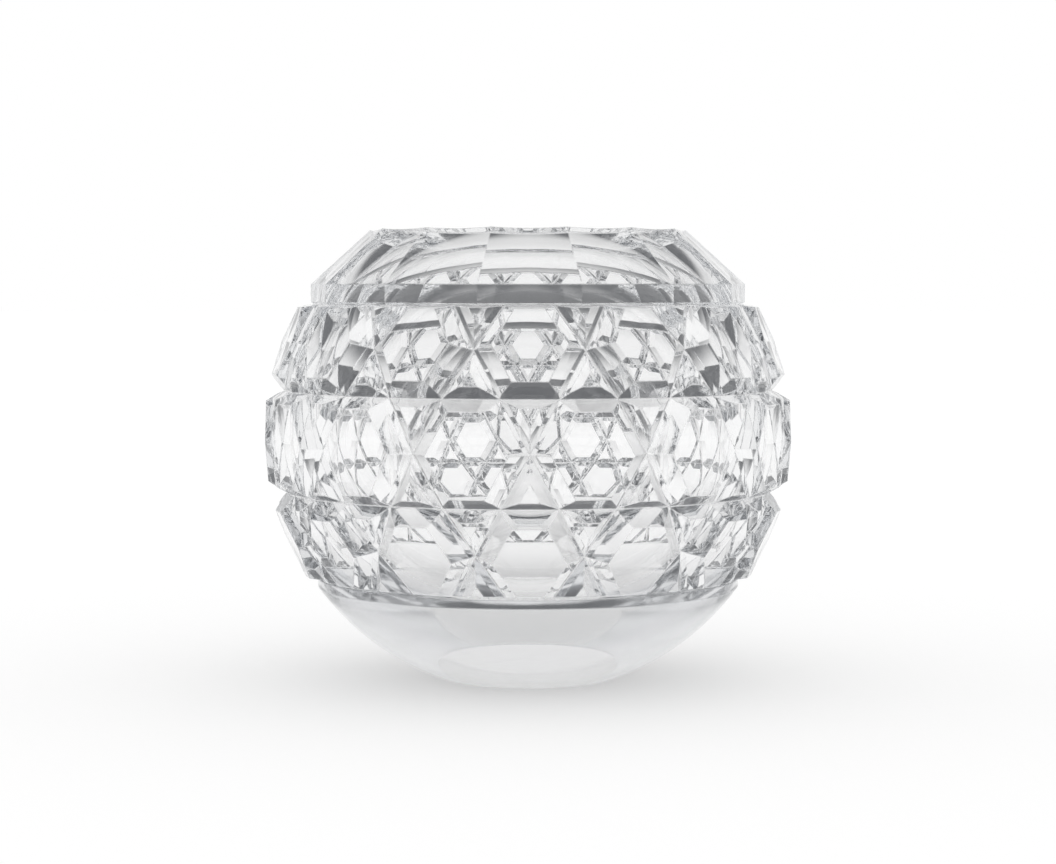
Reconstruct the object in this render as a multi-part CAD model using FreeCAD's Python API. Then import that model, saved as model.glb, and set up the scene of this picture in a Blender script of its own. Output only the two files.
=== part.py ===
import FreeCAD, Part
import math
import os

# Rose bowl vase of clear cut crystal: a ball cut flat at the foot and open at the top.
# Three bands of hexagons and triangles lie between four level grooves, with a
# faceted collar above them and a plain round base below.
# The glass is one piece. Each node is one zone of it, parted at a level groove.
# Millimetres. The origin is the middle of the foot, +Z is up and -Y is the front.

# The ball and what is left plain of it
ball_radius = 100.0  # the corners of the cut tables lie close to this ball
base_relief = 1.2  # the plain base lies this far inside the ball
foot_radius = 33.4  # the ground flat that the vase rests on
wall_thickness = 14.0  # from the ball to the smooth inside
floor_thickness = 17.0  # glass between the foot and the lowest point of the inside
floor_flatness = 9.0  # the floor of the inside is bent to a ball this much larger than its sides

# The lattice of cuts
cut_count = 14  # hexagons in each band
groove_latitudes = (-34.6, -13.1, 10.4, 31.7)  # the level grooves, in degrees up the ball
cut_depth = 5.7  # from the ball to the crossings at the bottom of the grooves
groove_wall_height = 2.0  # how high the steep walls of a groove rise from its bottom
groove_wall_slope = 54.0  # degrees between a steep wall and the ball
slanted_bevel_slope = 39.0  # degrees between the bevel beside a slanted groove and the ball
level_bevel_slope = 50.0  # the same for a level groove
hexagon_bevel_width = 4.2  # how far the bevels beside slanted grooves reach over a hexagon
triangle_bevel_width = 2.7  # the same over a triangle

# The collar, with as many sides as there are hexagons
collar_step = 0.9  # how far the upright band stands out over the top groove
collar_step_height = 0.8  # height of the sloping edge under the upright band
collar_wall_height = 6.7  # the upright band
collar_facet_width = 22.1  # how far the sloping facets lean in
collar_facet_height = 20.6  # how high the sloping facets climb
rim_width = 12.0  # from the outer to the inner edge of the rim
rim_drop = 7.0  # how much lower the inner edge lies

# The shoulder where the plain base meets the lowest groove
shoulder_step = 2.6  # how far its upright edge stands out past the groove's bottom
shoulder_height = 0.8  # height of the sloping edge over the upright edge

turn = 2.0 * math.pi
pitch = turn / cut_count
groove_radius = ball_radius - cut_depth
inner_radius = ball_radius - wall_thickness
base_radius = ball_radius - base_relief
ball_height = math.sqrt(base_radius ** 2 - foot_radius ** 2)
inner_depth = ball_height - floor_thickness
ball_centre = FreeCAD.Vector(0, 0, ball_height)
up = FreeCAD.Vector(0, 0, 1)


def around(angle, radius, height):
    # A point at an angle from the front, with its height counted from the ball's centre
    return FreeCAD.Vector(radius * math.sin(angle), -radius * math.cos(angle), height)


def unit(vector):
    return vector * (1.0 / vector.Length)


class Ring:
    # The bottom of one level groove: a polygon with a corner at each crossing
    def __init__(self, latitude):
        self.height = groove_radius * math.sin(math.radians(latitude))
        self.radius = groove_radius * math.cos(math.radians(latitude))

    def crossing(self, step):
        # The crossings lie at the odd quarters of the pitch
        return around((step + 0.5) * pitch / 2, self.radius, self.height)

    def flat(self):
        # Distance from the axis to the middle of a side
        return self.radius * math.cos(pitch / 4)


rings = [Ring(latitude) for latitude in groove_latitudes]


def sloping_plane(start, end, middle, slope):
    # The plane through an edge of a cell that rises towards the middle of the cell
    along = unit(end - start)
    out = unit(start + end)
    inward = unit(out.cross(along))
    if inward.dot(middle - start) < 0:
        inward = inward * -1.0
    rising = inward * math.cos(math.radians(slope)) + out * math.sin(math.radians(slope))
    normal = unit(along.cross(rising))
    if normal.dot(out) < 0:
        normal = normal * -1.0
    return normal, normal.dot(start)


def meeting(first, second, third):
    # The point that three planes share
    (a, p), (b, q), (c, r) = first, second, third
    point = b.cross(c) * p + c.cross(a) * q + a.cross(b) * r
    return point * (1.0 / a.dot(b.cross(c)))


def polygon(points):
    return Part.Face(Part.makePolygon(points + points[:1]))


def is_level(start, end):
    return abs(end.z - start.z) < (end - start).Length / 2


def edge_planes(corners, middle, slanted_slope, level_slope):
    # One plane through each edge of a cell
    planes = []
    for start, end in zip(corners, corners[1:] + corners[:1]):
        slope = level_slope if is_level(start, end) else slanted_slope
        planes.append(sloping_plane(start, end, middle, slope))
    return planes


def table_plane(edges, bevels, middle, bevel_width):
    # The table lies where the bevel beside a slanted groove has reached its width
    out = unit(middle)
    first = [i for i in range(len(edges)) if not is_level(edges[i - 1], edges[i])][0]
    start = edges[first - 1]
    end = edges[first]
    normal, distance = bevels[first - 1]
    across = unit(out.cross(end - start))
    if across.dot(middle - start) < 0:
        across = across * -1.0
    under = (start + end) * (1.0 / 2) + across * bevel_width
    return out, under.dot(out) + (distance - normal.dot(under)) / normal.dot(out)


def cell_faces(corners, bevel_width):
    # A cell rises from its groove bottoms in steep walls, then bevels, then a flat table
    count = len(corners)
    middle = FreeCAD.Vector(0, 0, 0)
    for corner in corners:
        middle = middle + corner * (1.0 / count)
    walls = edge_planes(corners, middle, groove_wall_slope, groove_wall_slope)
    edges = []
    for i in range(count):
        mitre = walls[i - 1][0].cross(walls[i][0])
        climb = mitre.dot(unit(corners[i]))
        edges.append(corners[i] + mitre * (groove_wall_height / climb))
    bevels = edge_planes(edges, middle, slanted_bevel_slope, level_bevel_slope)
    table = table_plane(edges, bevels, middle, bevel_width)
    flats = [meeting(bevels[i - 1], bevels[i], table) for i in range(count)]
    faces = [polygon(flats)]
    for i in range(count):
        j = (i + 1) % count
        faces.append(polygon([corners[i], corners[j], edges[j], edges[i]]))
        faces.append(polygon([edges[i], edges[j], flats[j], flats[i]]))
    return faces


def solid_of(faces):
    shell = Part.makeShell(faces)
    shell.sewShape()
    solid = Part.makeSolid(shell)
    if solid.Volume < 0:
        solid.reverse()
    return solid


def cut_band(lower, upper, phase):
    # One band of hexagons and pairs of triangles between two rings
    mid_latitude = (math.asin(lower.height / groove_radius) + math.asin(upper.height / groove_radius)) / 2
    mid_radius = groove_radius * math.cos(mid_latitude)
    mid_height = groove_radius * math.sin(mid_latitude)
    faces = []
    for k in range(cut_count):
        step = 2 * k + phase
        left = around((step - 1) * pitch / 2, mid_radius, mid_height)
        right = around((step + 1) * pitch / 2, mid_radius, mid_height)
        hexagon = [lower.crossing(step - 1), lower.crossing(step), right]
        hexagon += [upper.crossing(step), upper.crossing(step - 1), left]
        faces += cell_faces(hexagon, hexagon_bevel_width)
        pointing_down = [right, upper.crossing(step + 1), upper.crossing(step)]
        faces += cell_faces(pointing_down, triangle_bevel_width)
        pointing_up = [lower.crossing(step), lower.crossing(step + 1), right]
        faces += cell_faces(pointing_up, triangle_bevel_width)
    for ring in (lower, upper):
        faces.append(polygon([ring.crossing(i) for i in range(2 * cut_count)]))
    return solid_of(faces)


def sided_disc(flat_distance, height):
    # The corners of a level polygon whose sides face the same way as the hexagons
    corner_radius = flat_distance / math.cos(pitch / 2)
    return [around((k + 0.5) * pitch, corner_radius, height) for k in range(cut_count)]


def collar():
    # The collar narrows from its upright band to the rim in flat facets
    ring = rings[-1]
    outline = [(ring.flat(), ring.height)]
    outline.append((outline[-1][0] + collar_step, outline[-1][1] + collar_step_height))
    outline.append((outline[-1][0], outline[-1][1] + collar_wall_height))
    outline.append((outline[-1][0] - collar_facet_width, outline[-1][1] + collar_facet_height))
    levels = [sided_disc(flat_distance, height) for flat_distance, height in outline]
    faces = [polygon(levels[0]), polygon(levels[-1])]
    for lower, upper in zip(levels, levels[1:]):
        for i in range(cut_count):
            faces.append(polygon([lower[i - 1], lower[i], upper[i], upper[i - 1]]))
    return solid_of(faces)


def spun(edges):
    # A closed outline in the plane y = 0, turned once round the axis
    face = Part.Face(Part.Wire(Part.__sortEdges__(edges)))
    return face.revolve(FreeCAD.Vector(0, 0, 0), up, 360)


def ball_point(radius, height):
    return FreeCAD.Vector(math.sqrt(radius ** 2 - height ** 2), 0, height)


def line(start, end):
    return Part.LineSegment(start, end).toShape()


def plain_base():
    # The round base: foot, ball and the low shoulder under the lowest groove
    ring = rings[0]
    axis_top = FreeCAD.Vector(0, 0, ring.height)
    axis_foot = FreeCAD.Vector(0, 0, -ball_height)
    foot_edge = ball_point(base_radius, -ball_height)
    shoulder_radius = ring.radius + shoulder_step
    shoulder_top = FreeCAD.Vector(shoulder_radius, 0, ring.height - shoulder_height)
    shoulder_foot = FreeCAD.Vector(shoulder_radius, 0, -math.sqrt(base_radius ** 2 - shoulder_radius ** 2))
    groove_edge = FreeCAD.Vector(ring.radius, 0, ring.height)
    half_way = ball_point(base_radius, (shoulder_foot.z - ball_height) / 2)
    edges = [line(axis_top, axis_foot), line(axis_foot, foot_edge)]
    edges.append(Part.Arc(foot_edge, half_way, shoulder_foot).toShape())
    edges.append(line(shoulder_foot, shoulder_top))
    edges.append(line(shoulder_top, groove_edge))
    edges.append(line(groove_edge, axis_top))
    return spun(edges)


def inside():
    # The smooth blown inside: a flatter floor, sides, a ball above, a neck and the sloping rim
    ring = rings[-1]
    rim_flat = ring.flat() + collar_step - collar_facet_width
    rim_height = ring.height + collar_step_height + collar_wall_height + collar_facet_height
    rim_corner = rim_flat / math.cos(pitch / 2)
    rim_slope = rim_drop / rim_width
    bottom = FreeCAD.Vector(0, 0, -inner_depth)
    side = FreeCAD.Vector(inner_radius, 0, 0)
    neck_foot = ball_point(inner_radius, ring.height)
    mouth_edge = FreeCAD.Vector(rim_corner - rim_width, 0, rim_height - rim_drop)
    clear_edge = FreeCAD.Vector(rim_corner + rim_width, 0, rim_height + rim_width * rim_slope)
    axis_top = FreeCAD.Vector(0, 0, clear_edge.z)
    # The floor's arc and the side's arc touch where the line through their centres meets both
    floor_bend = inner_radius + floor_flatness
    floor_centre = FreeCAD.Vector(0, 0, floor_bend - inner_depth)
    side_bend = (floor_bend ** 2 - inner_radius ** 2 - floor_centre.z ** 2) / (2 * floor_flatness)
    side_centre = FreeCAD.Vector(inner_radius - side_bend, 0, 0)
    to_joint = unit(side_centre - floor_centre)
    joint = floor_centre + to_joint * floor_bend
    floor_middle = floor_centre + unit(to_joint - up) * floor_bend
    low_side_middle = side_centre + unit(to_joint + FreeCAD.Vector(1, 0, 0)) * side_bend
    # The neck's arc leaves the ball smoothly and ends at the inner edge of the rim
    chord = neck_foot - mouth_edge
    out = unit(neck_foot)
    neck_bend = chord.dot(chord) / (2 * chord.dot(out))
    bend_centre = neck_foot - out * neck_bend
    neck_middle = bend_centre + unit(unit(neck_foot - bend_centre) + unit(mouth_edge - bend_centre)) * neck_bend
    side_middle = ball_point(inner_radius, ring.height / 2)
    edges = [line(axis_top, bottom)]
    edges.append(Part.Arc(bottom, floor_middle, joint).toShape())
    edges.append(Part.Arc(joint, low_side_middle, side).toShape())
    edges.append(Part.Arc(side, side_middle, neck_foot).toShape())
    edges.append(Part.Arc(neck_foot, neck_middle, mouth_edge).toShape())
    edges.append(line(mouth_edge, clear_edge))
    edges.append(line(clear_edge, axis_top))
    return spun(edges)


def write(node, shape):
    # Stand the zone on its foot plane and save it under its own name
    shape.translate(ball_centre)
    solids = shape.Solids
    box = shape.BoundBox
    print(node, len(solids), shape.isValid(), round(shape.Volume), round(box.ZMin, 2), round(box.ZMax, 2))
    shape.exportStep("parts/" + node + ".step")


os.makedirs("parts", exist_ok=True)
hollow = inside()
write("plain_base", plain_base().cut(hollow))
write("lower_cut_band", cut_band(rings[0], rings[1], 0).cut(hollow))
write("middle_cut_band", cut_band(rings[1], rings[2], 1).cut(hollow))
write("upper_cut_band", cut_band(rings[2], rings[3], 0).cut(hollow))
write("faceted_collar", collar().cut(hollow))
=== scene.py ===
import math
import bmesh
import bpy
from mathutils import Matrix, Vector


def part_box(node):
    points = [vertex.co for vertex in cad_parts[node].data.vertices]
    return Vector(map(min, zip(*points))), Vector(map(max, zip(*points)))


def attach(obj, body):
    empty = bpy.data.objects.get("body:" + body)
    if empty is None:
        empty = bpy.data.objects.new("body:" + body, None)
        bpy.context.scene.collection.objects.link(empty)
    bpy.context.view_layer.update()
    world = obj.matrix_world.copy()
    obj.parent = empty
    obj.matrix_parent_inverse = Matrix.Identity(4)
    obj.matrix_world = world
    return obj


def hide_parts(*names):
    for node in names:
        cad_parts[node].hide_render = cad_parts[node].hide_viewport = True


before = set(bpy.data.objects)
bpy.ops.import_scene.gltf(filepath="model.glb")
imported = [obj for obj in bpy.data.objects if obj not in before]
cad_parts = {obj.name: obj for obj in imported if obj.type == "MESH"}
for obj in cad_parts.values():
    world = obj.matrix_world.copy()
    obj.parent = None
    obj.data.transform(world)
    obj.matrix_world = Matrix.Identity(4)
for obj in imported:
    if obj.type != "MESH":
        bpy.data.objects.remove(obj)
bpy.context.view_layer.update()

# The glass is one blank, so one closed skin stands for all the zones of the frame.
# Metres, with heights counted from the middle of the ball until the skin is lifted.
blank = {
    "ballRadius": 0.100,
    "baseRelief": 0.0012,
    "footRadius": 0.0334,
    "wall": 0.014,
    "floor": 0.017,
    "floorFlatness": 0.009,
    "roundSteps": 16,        # steps round each cut
    "insideSteps": 90,       # steps from the mouth to the floor
    "baseSteps": 24,
    "rimSteps": 4,
}
lattice = {
    "count": 14,             # hexagons in each band
    "cutDepth": 0.0057,
    "wallHeight": 0.0020,
    "wallSlope": math.radians(54),
    "slantedSlope": math.radians(39),   # bevels beside slanted grooves
    "levelSlope": math.radians(50),     # bevels beside level grooves
    "hexagonBevel": 0.0042,
    "triangleBevel": 0.0027,
}
collar = {
    "step": 0.0009,
    "stepRise": 0.0008,
    "wallHeight": 0.0067,
    "facetRun": 0.0221,
    "facetRise": 0.0206,
    "rimWidth": 0.012,
    "rimDrop": 0.007,
}
shoulder = {"step": 0.0026, "rise": 0.0008}

pitch = math.tau / lattice["count"]
grooveRadius = blank["ballRadius"] - lattice["cutDepth"]
insideRadius = blank["ballRadius"] - blank["wall"]
baseRadius = blank["ballRadius"] - blank["baseRelief"]
ballHeight = math.sqrt(baseRadius ** 2 - blank["footRadius"] ** 2)
bandNodes = ["lower_cut_band", "middle_cut_band", "upper_cut_band"]
zoneNodes = ["plain_base"] + bandNodes + ["faceted_collar"]


def around(angle, radius, height):
    return Vector((radius * math.sin(angle), -radius * math.cos(angle), height))


class Ring:
    # The bottom of a level groove, with crossings at the odd quarters of the pitch
    def __init__(self, top):
        self.height = top - ballHeight
        self.radius = math.sqrt(grooveRadius ** 2 - self.height ** 2)
        self.latitude = math.asin(self.height / grooveRadius)
        self.flat = self.radius * math.cos(pitch / 4)

    def crossing(self, step):
        return around((step + 0.5) * pitch / 2, self.radius, self.height)


rings = [Ring(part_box(bandNodes[0])[0][2])] + [Ring(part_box(node)[1][2]) for node in bandNodes]


def slopingPlane(start, end, middle, slope):
    # The plane through a cell's edge that rises towards the cell's middle
    along = (end - start).normalized()
    out = (start + end).normalized()
    inward = out.cross(along).normalized()
    if inward.dot(middle - start) < 0:
        inward = -inward
    normal = along.cross(inward * math.cos(slope) + out * math.sin(slope)).normalized()
    if normal.dot(out) < 0:
        normal = -normal
    return normal, normal.dot(start)


def meeting(first, second, third):
    (a, p), (b, q), (c, r) = first, second, third
    return (b.cross(c) * p + c.cross(a) * q + a.cross(b) * r) / a.dot(b.cross(c))


def isLevel(start, end):
    return abs(end.z - start.z) < (end - start).length / 2


def edgePlanes(corners, middle, slantedSlope, levelSlope):
    pairs = zip(corners, corners[1:] + corners[:1])
    return [slopingPlane(start, end, middle, levelSlope if isLevel(start, end) else slantedSlope)
            for start, end in pairs]


def tablePlane(edges, bevels, middle, bevelWidth):
    # The table lies where the bevel beside a slanted groove has reached its width
    out = middle.normalized()
    first = [i for i in range(len(edges)) if not isLevel(edges[i - 1], edges[i])][0]
    start, end = edges[first - 1], edges[first]
    normal, distance = bevels[first - 1]
    across = out.cross(end - start).normalized()
    if across.dot(middle - start) < 0:
        across = -across
    under = (start + end) / 2 + across * bevelWidth
    return out, under.dot(out) + (distance - normal.dot(under)) / normal.dot(out)


def cutCell(corners, bevelWidth):
    # Steep groove walls, then bevels, then a flat table, every facet truly flat
    count = len(corners)
    middle = sum(corners, Vector()) / count
    walls = edgePlanes(corners, middle, lattice["wallSlope"], lattice["wallSlope"])
    edges = []
    for i in range(count):
        mitre = walls[i - 1][0].cross(walls[i][0])
        edges.append(corners[i] + mitre * (lattice["wallHeight"] / mitre.dot(corners[i].normalized())))
    bevels = edgePlanes(edges, middle, lattice["slantedSlope"], lattice["levelSlope"])
    table = tablePlane(edges, bevels, middle, bevelWidth)
    flats = [meeting(bevels[i - 1], bevels[i], table) for i in range(count)]
    facets = [flats]
    for i in range(count):
        j = (i + 1) % count
        facets.append([corners[i], corners[j], edges[j], edges[i]])
        facets.append([edges[i], edges[j], flats[j], flats[i]])
    return facets


def cutBand(lower, upper, phase):
    # One hexagon and one pair of triangles of a band
    latitude = (lower.latitude + upper.latitude) / 2
    radius = grooveRadius * math.cos(latitude)
    height = grooveRadius * math.sin(latitude)
    left = around((phase - 1) * pitch / 2, radius, height)
    right = around((phase + 1) * pitch / 2, radius, height)
    hexagon = [lower.crossing(phase - 1), lower.crossing(phase), right,
               upper.crossing(phase), upper.crossing(phase - 1), left]
    pointingDown = [right, upper.crossing(phase + 1), upper.crossing(phase)]
    pointingUp = [lower.crossing(phase), lower.crossing(phase + 1), right]
    facets = cutCell(hexagon, lattice["hexagonBevel"])
    facets += cutCell(pointingDown, lattice["triangleBevel"])
    facets += cutCell(pointingUp, lattice["triangleBevel"])
    return facets


def roundAngles(start=0):
    return [(start + j) * pitch / blank["roundSteps"] for j in range(blank["roundSteps"] + 1)]


def strip(lower, upper):
    # Quads between two rows of points
    return [[lower[j], lower[j + 1], upper[j + 1], upper[j]] for j in range(len(lower) - 1)]


def spunStrips(profile):
    # A wedge of a turned surface; a point on the axis closes it with triangles
    rows = [[around(angle, radius, height) for angle in roundAngles()] for radius, height in profile]
    facets = []
    for (radius, _), lower, upper in zip(profile, rows, rows[1:]):
        if upper[0].xy.length < 1e-9:
            facets += [[lower[j], lower[j + 1], upper[0]] for j in range(len(lower) - 1)]
        else:
            facets += strip(lower, upper)
    return facets


def arcProfile(centre, start, end, steps):
    # Points of an arc in the (radius, height) plane, both ends included
    first = math.atan2(start[1] - centre[1], start[0] - centre[0])
    last = math.atan2(end[1] - centre[1], end[0] - centre[0])
    bend = math.dist(centre, start)
    angles = [first + (last - first) * i / steps for i in range(steps + 1)]
    return [(centre[0] + bend * math.cos(a), centre[1] + bend * math.sin(a)) for a in angles]


def collarLevels():
    # Distance from the axis to a flat side, and height, from the groove up to the rim
    ring = rings[-1]
    foot = (ring.flat, ring.height)
    wallFoot = (foot[0] + collar["step"], foot[1] + collar["stepRise"])
    wallTop = (wallFoot[0], wallFoot[1] + collar["wallHeight"])
    rim = (wallTop[0] - collar["facetRun"], wallTop[1] + collar["facetRise"])
    return foot, wallFoot, wallTop, rim


def rimCorner():
    flat, height = collarLevels()[-1]
    return flat / math.cos(pitch / 2), height


def rimEdge(angle):
    # Where the sloping rim cuts a flat side of the collar; the edge dips in the middle of a side
    flat = collarLevels()[-1][0]
    corner, height = rimCorner()
    slope = collar["rimDrop"] / collar["rimWidth"]
    lean = slope * collar["facetRun"] / collar["facetRise"]
    side = angle - pitch * round(angle / pitch)
    radius = (flat + corner * lean) / (math.cos(side) + lean)
    return around(angle, radius, height + (radius - corner) * slope)


def mouthEdge():
    corner, height = rimCorner()
    return corner - collar["rimWidth"], height - collar["rimDrop"]


def collarFacets():
    foot, wallFoot, wallTop, rim = collarLevels()
    ring = rings[-1]

    def corners(level):
        radius = level[0] / math.cos(pitch / 2)
        return around(-pitch / 2, radius, level[1]), around(pitch / 2, radius, level[1])

    footLeft, footRight = corners(foot)
    stepLeft, stepRight = corners(wallFoot)
    wallLeft, wallRight = corners(wallTop)
    facets = [[footLeft, ring.crossing(-1), ring.crossing(0), footRight, stepRight, stepLeft]]
    facets.append([stepLeft, stepRight, wallRight, wallLeft])
    edge = [rimEdge(angle) for angle in roundAngles(-blank["roundSteps"] // 2)]
    facets.append([wallLeft, wallRight] + edge[::-1])
    facets.append([ring.crossing(0), ring.crossing(1), footRight])
    # The rim slopes down from that edge to the round mouth
    mouthRadius, mouthHeight = mouthEdge()
    rows = []
    for step in range(blank["rimSteps"] + 1):
        share = step / blank["rimSteps"]
        rows.append([rimEdge(angle).lerp(around(angle, mouthRadius, mouthHeight), share)
                     for angle in roundAngles()])
    for lower, upper in zip(rows, rows[1:]):
        facets += strip(lower, upper)
    return facets


def insideProfile():
    # From the mouth down: a neck, the ball, the flatter side and the floor
    ring = rings[-1]
    mouth = Vector(mouthEdge())
    neckFoot = Vector((math.sqrt(insideRadius ** 2 - ring.height ** 2), ring.height))
    out = neckFoot.normalized()
    chord = neckFoot - mouth
    neckCentre = neckFoot - out * (chord.length_squared / (2 * chord.dot(out)))
    depth = ballHeight - blank["floor"]
    floorBend = insideRadius + blank["floorFlatness"]
    floorCentre = Vector((0, floorBend - depth))
    sideBend = (floorBend ** 2 - insideRadius ** 2 - floorCentre.y ** 2) / (2 * blank["floorFlatness"])
    sideCentre = Vector((insideRadius - sideBend, 0))
    joint = floorCentre + (sideCentre - floorCentre).normalized() * floorBend
    arcs = [(neckCentre, mouth, neckFoot), ((0, 0), neckFoot, (insideRadius, 0)),
            (sideCentre, (insideRadius, 0), joint), (floorCentre, joint, (0, -depth))]
    profile = [tuple(mouth)]
    for centre, start, end in arcs:
        steps = max(4, round(blank["insideSteps"] * math.dist(start, end) / (2.2 * insideRadius)))
        profile += arcProfile(centre, start, end, steps)[1:]
    profile[-1] = (0, -depth)
    return profile


def baseProfile():
    # From the lowest groove down: the shoulder, the plain ball and the foot
    ring = rings[0]
    shoulderRadius = ring.radius + shoulder["step"]
    shoulderFoot = (shoulderRadius, -math.sqrt(baseRadius ** 2 - shoulderRadius ** 2))
    footEdge = (blank["footRadius"], -ballHeight)
    profile = [(ring.radius, ring.height), (shoulderRadius, ring.height - shoulder["rise"])]
    profile += arcProfile((0, 0), shoulderFoot, footEdge, blank["baseSteps"])
    profile += [(blank["footRadius"] * share, -ballHeight) for share in (0.9, 0.5, 0)]
    return profile


def grooveLedges():
    # The narrow ledge between the straight cuts and the round shoulder
    ring = rings[0]
    half = blank["roundSteps"] // 2
    quarter = blank["roundSteps"] // 4
    facets = []
    for start in (-quarter, quarter):
        angles = [(start + j) * pitch / blank["roundSteps"] for j in range(half + 1)]
        facets.append([around(angle, ring.radius, ring.height) for angle in angles])
    return facets


def wedgeMesh():
    facets = []
    for index, phase in enumerate((0, 1, 0)):
        facets += cutBand(rings[index], rings[index + 1], phase)
    facets += collarFacets() + grooveLedges()
    facets += spunStrips(baseProfile()) + spunStrips(insideProfile())
    points = []
    polygons = []
    for facet in facets:
        polygons.append(list(range(len(points), len(points) + len(facet))))
        points += [point + Vector((0, 0, ballHeight)) for point in facet]
    mesh = bpy.data.meshes.new("cutWedge")
    mesh.from_pydata([tuple(point) for point in points], [], polygons)
    return mesh


def socket(tree, name, kind, value):
    item = tree.interface.new_socket(name, in_out="INPUT", socket_type=kind)
    if value is not None:
        item.default_value = value
    return item.identifier


def repeatRoundTree():
    # Sets a wedge round the axis as often as there are cuts, and joins the copies
    tree = bpy.data.node_groups.new("repeatRound", "GeometryNodeTree")
    tree.interface.new_socket("Geometry", in_out="INPUT", socket_type="NodeSocketGeometry")
    keys = {
        "count": socket(tree, "Cuts Round", "NodeSocketInt", 3),
        "merge": socket(tree, "Join Distance", "NodeSocketFloat", 0.000002),
        "material": socket(tree, "Glass", "NodeSocketMaterial", None),
    }
    tree.interface.new_socket("Geometry", in_out="OUTPUT", socket_type="NodeSocketGeometry")
    nodes = tree.nodes
    link = tree.links.new
    source = nodes.new("NodeGroupInput")
    result = nodes.new("NodeGroupOutput")
    places = nodes.new("GeometryNodePoints")
    index = nodes.new("GeometryNodeInputIndex")
    oneStep = nodes.new("ShaderNodeMath")
    oneStep.operation = "DIVIDE"
    oneStep.inputs[0].default_value = math.tau
    angle = nodes.new("ShaderNodeMath")
    angle.operation = "MULTIPLY"
    spin = nodes.new("ShaderNodeCombineXYZ")
    copies = nodes.new("GeometryNodeInstanceOnPoints")
    real = nodes.new("GeometryNodeRealizeInstances")
    joined = nodes.new("GeometryNodeMergeByDistance")
    glassed = nodes.new("GeometryNodeSetMaterial")
    link(source.outputs["Cuts Round"], places.inputs["Count"])
    link(source.outputs["Cuts Round"], oneStep.inputs[1])
    link(index.outputs[0], angle.inputs[0])
    link(oneStep.outputs[0], angle.inputs[1])
    link(angle.outputs[0], spin.inputs["Z"])
    link(places.outputs[0], copies.inputs["Points"])
    link(source.outputs["Geometry"], copies.inputs["Instance"])
    link(spin.outputs[0], copies.inputs["Rotation"])
    link(copies.outputs[0], real.inputs[0])
    link(real.outputs[0], joined.inputs["Geometry"])
    link(source.outputs["Join Distance"], joined.inputs["Distance"])
    link(joined.outputs[0], glassed.inputs["Geometry"])
    link(source.outputs["Glass"], glassed.inputs["Material"])
    link(glassed.outputs[0], result.inputs[0])
    return tree, keys


crystal = {
    "ior": 1.545,
    "roughness": 0.0,
    "waveScale": 38.0,       # faint waves of blown glass
    "waveStrength": 0.02,
}


groundFoot = {
    "ior": 1.545,
    "roughness": 0.22,
    "waveScale": 70.0,       # the uneven polish of the ground foot
    "waveStrength": 0.5,
}


absorption = {
    "color": (0.69, 0.705, 0.725, 1),
    "density": 4.5,          # per metre: long ways through the glass look a little grey
}


polish = {"edgeRadius": 0.0007}   # acid polishing rounds each cut edge a little


def glassMaterial(name, crystal):
    material = bpy.data.materials.new(name)
    material.use_nodes = True
    nodes = material.node_tree.nodes
    link = material.node_tree.links.new
    shader = nodes["Principled BSDF"]
    shader.inputs["Base Color"].default_value = (1, 1, 1, 1)
    shader.inputs["Transmission Weight"].default_value = 1
    shader.inputs["IOR"].default_value = crystal["ior"]
    shader.inputs["Roughness"].default_value = crystal["roughness"]
    place = nodes.new("ShaderNodeTexCoord")
    waves = nodes.new("ShaderNodeTexNoise")
    waves.inputs["Scale"].default_value = crystal["waveScale"]
    waves.inputs["Detail"].default_value = 1.0
    bump = nodes.new("ShaderNodeBump")
    bump.inputs["Strength"].default_value = crystal["waveStrength"]
    bump.inputs["Distance"].default_value = 0.002
    link(place.outputs["Object"], waves.inputs["Vector"])
    link(waves.outputs["Fac"], bump.inputs["Height"])
    edges = nodes.new("ShaderNodeBevel")
    edges.samples = 4
    edges.inputs["Radius"].default_value = polish["edgeRadius"]
    link(edges.outputs[0], bump.inputs["Normal"])
    link(bump.outputs["Normal"], shader.inputs["Normal"])
    body = nodes.new("ShaderNodeVolumeAbsorption")
    body.inputs["Color"].default_value = absorption["color"]
    body.inputs["Density"].default_value = absorption["density"]
    link(body.outputs[0], nodes["Material Output"].inputs["Volume"])
    return material


def makeVase():
    material = glassMaterial("clearCrystal", crystal)
    wedge = bpy.data.objects.new("cutWedge", wedgeMesh())
    bpy.context.scene.collection.objects.link(wedge)
    tree, keys = repeatRoundTree()
    modifier = wedge.modifiers.new("Round", "NODES")
    modifier.node_group = tree
    modifier[keys["count"]] = lattice["count"]
    modifier[keys["material"]] = material
    evaluated = wedge.evaluated_get(bpy.context.evaluated_depsgraph_get())
    mesh = bpy.data.meshes.new_from_object(evaluated)
    bpy.data.objects.remove(wedge)
    bm = bmesh.new()
    bm.from_mesh(mesh)
    bmesh.ops.remove_doubles(bm, verts=bm.verts, dist=0.000002)
    bmesh.ops.recalc_face_normals(bm, faces=bm.faces)
    bm.to_mesh(mesh)
    openEdges = sum(1 for edge in bm.edges if len(edge.link_faces) != 2)
    print("glass skin:", len(bm.faces), "faces,", openEdges, "open edges, volume", bm.calc_volume())
    bm.free()
    mesh.polygons.foreach_set("use_smooth", [True] * len(mesh.polygons))
    mesh.set_sharp_from_angle(angle=math.radians(12))
    mesh.materials.append(glassMaterial("groundFoot", groundFoot))
    for polygon in mesh.polygons:
        if polygon.center.z < 0.00001:
            polygon.material_index = 1
    mesh.name = "crystalVase"
    vase = bpy.data.objects.new("crystalVase", mesh)
    bpy.context.scene.collection.objects.link(vase)
    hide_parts(*zoneNodes)
    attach(vase, "root")
    return vase


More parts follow.
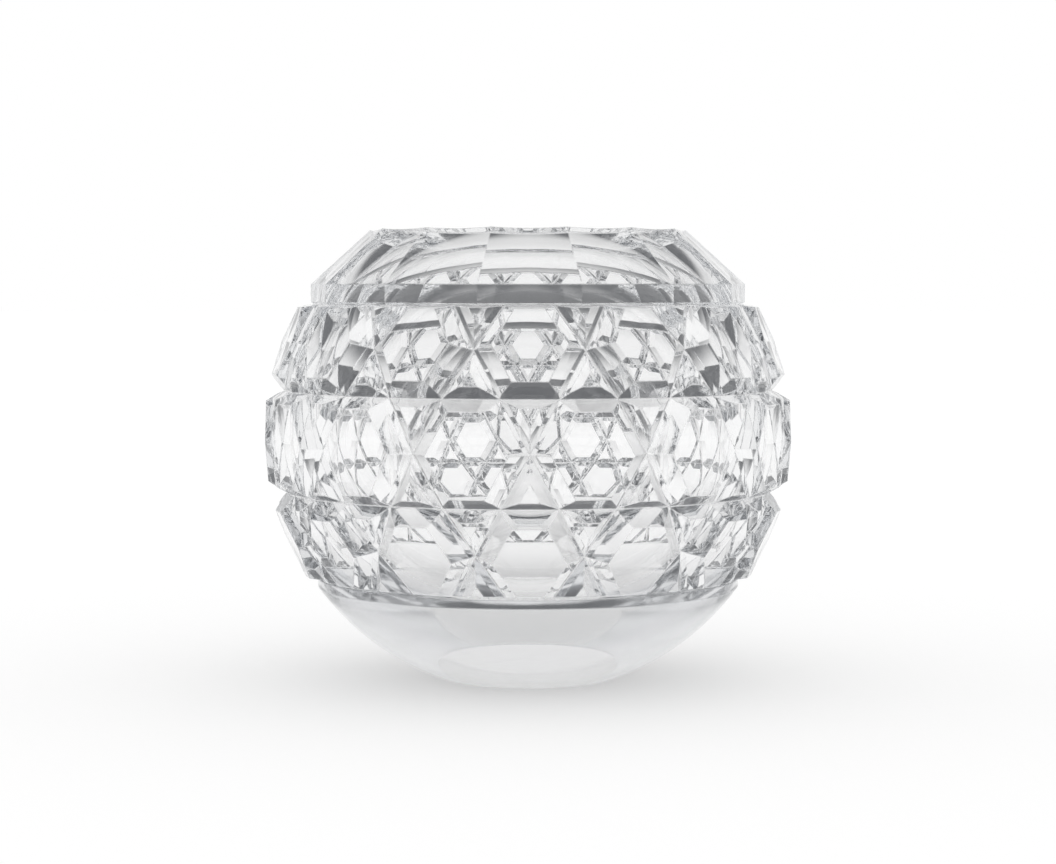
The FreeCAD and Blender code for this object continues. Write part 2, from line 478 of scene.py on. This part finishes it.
studio = {
    "floorColor": (0.55, 0.55, 0.55, 1),
    "floorLift": 0.46,
    "floorSize": 30.0,
    "white": (1, 1, 1, 1),
    "grey": (0.028, 0.033, 0.042, 1),
    # From and to how many degrees up, and how much of the grey comes in there
    "greySteps": ((3, 11, 0.16), (13, 27, 0.72), (62, 80, -0.16)),
}


def mathNode(tree, operation, first, second):
    node = tree.nodes.new("ShaderNodeMath")
    node.operation = operation
    for place, value in enumerate((first, second)):
        if isinstance(value, (int, float)):
            node.inputs[place].default_value = value
        else:
            tree.links.new(value, node.inputs[place])
    return node.outputs[0]


def seenRays(tree, strength):
    # The strength for rays that show the floor: camera, gloss and glass; nothing for the rest
    path = tree.nodes.new("ShaderNodeLightPath")
    seen = mathNode(tree, "MAXIMUM", path.outputs["Is Camera Ray"], path.outputs["Is Glossy Ray"])
    seen = mathNode(tree, "MAXIMUM", seen, path.outputs["Is Transmission Ray"])
    return mathNode(tree, "MULTIPLY", seen, strength)


def studioFloor():
    material = bpy.data.materials.new("paleFloor")
    material.use_nodes = True
    nodes = material.node_tree.nodes
    link = material.node_tree.links.new
    plain = nodes["Principled BSDF"]
    plain.inputs["Base Color"].default_value = studio["floorColor"]
    plain.inputs["Roughness"].default_value = 0.9
    plain.inputs["Specular IOR Level"].default_value = 0.0
    # Seen straight on, in gloss and through glass, the floor is raised to white and keeps its shadow
    plain.inputs["Emission Color"].default_value = (1, 1, 1, 1)
    link(seenRays(material.node_tree, studio["floorLift"]), plain.inputs["Emission Strength"])
    half = studio["floorSize"] / 2
    mesh = bpy.data.meshes.new("floor")
    mesh.from_pydata([(-half, -half, 0), (half, -half, 0), (half, half, 0), (-half, half, 0)], [], [(0, 1, 2, 3)])
    mesh.materials.append(material)
    floor = bpy.data.objects.new("floor", mesh)
    bpy.context.scene.collection.objects.link(floor)


def studioWorld():
    world = bpy.data.worlds.new("studioWorld")
    bpy.context.scene.world = world
    world.use_nodes = True
    nodes = world.node_tree.nodes
    link = world.node_tree.links.new
    light = nodes["Background"]
    place = nodes.new("ShaderNodeTexCoord")
    parts = nodes.new("ShaderNodeSeparateXYZ")
    path = nodes.new("ShaderNodeLightPath")
    tree = world.node_tree

    # The camera and the floor see plain white; glass and gloss also see the grey of the studio
    link(place.outputs["Generated"], parts.inputs[0])
    grey = 0
    for low, high, share in studio["greySteps"]:
        fade = nodes.new("ShaderNodeMapRange")
        fade.interpolation_type = "SMOOTHSTEP"
        fade.inputs["From Min"].default_value = math.sin(math.radians(low))
        fade.inputs["From Max"].default_value = math.sin(math.radians(high))
        link(parts.outputs["Z"], fade.inputs["Value"])
        grey = mathNode(tree, "ADD", mathNode(tree, "MULTIPLY", fade.outputs["Result"], share), grey)
    inGlass = mathNode(tree, "MAXIMUM", path.outputs["Is Glossy Ray"], path.outputs["Is Transmission Ray"])
    mixed = nodes.new("ShaderNodeMix")
    mixed.data_type = "RGBA"
    mixed.inputs[6].default_value = studio["white"]
    mixed.inputs[7].default_value = studio["grey"]
    link(mathNode(tree, "MULTIPLY", grey, inGlass), mixed.inputs[0])
    link(mixed.outputs[2], light.inputs["Color"])


camera = {
    "distance": 0.996,
    "height": 0.1493,
    "pitchDown": 3.2,
    "turn": -0.4,
    "lens": 88.98,
}


def studioCamera():
    data = bpy.data.cameras.new("camera")
    data.lens = camera["lens"]
    data.sensor_width = 36
    view = bpy.data.objects.new("camera", data)
    bpy.context.scene.collection.objects.link(view)
    turned = Matrix.Rotation(math.radians(camera["turn"]), 4, "Z")
    placed = Matrix.Translation((0, -camera["distance"], camera["height"]))
    tilted = Matrix.Rotation(math.radians(90 - camera["pitchDown"]), 4, "X")
    view.matrix_world = turned @ placed @ tilted
    bpy.context.scene.camera = view


print("making the glass")
makeVase()
print("making the studio")
studioFloor()
studioWorld()
studioCamera()
bpy.context.scene.view_settings.view_transform = "Standard"
# Light that is caught in the thick glass needs many turns to find its way out
bpy.context.scene.cycles.max_bounces = 32
bpy.context.scene.cycles.glossy_bounces = 24
bpy.context.scene.cycles.transmission_bounces = 24
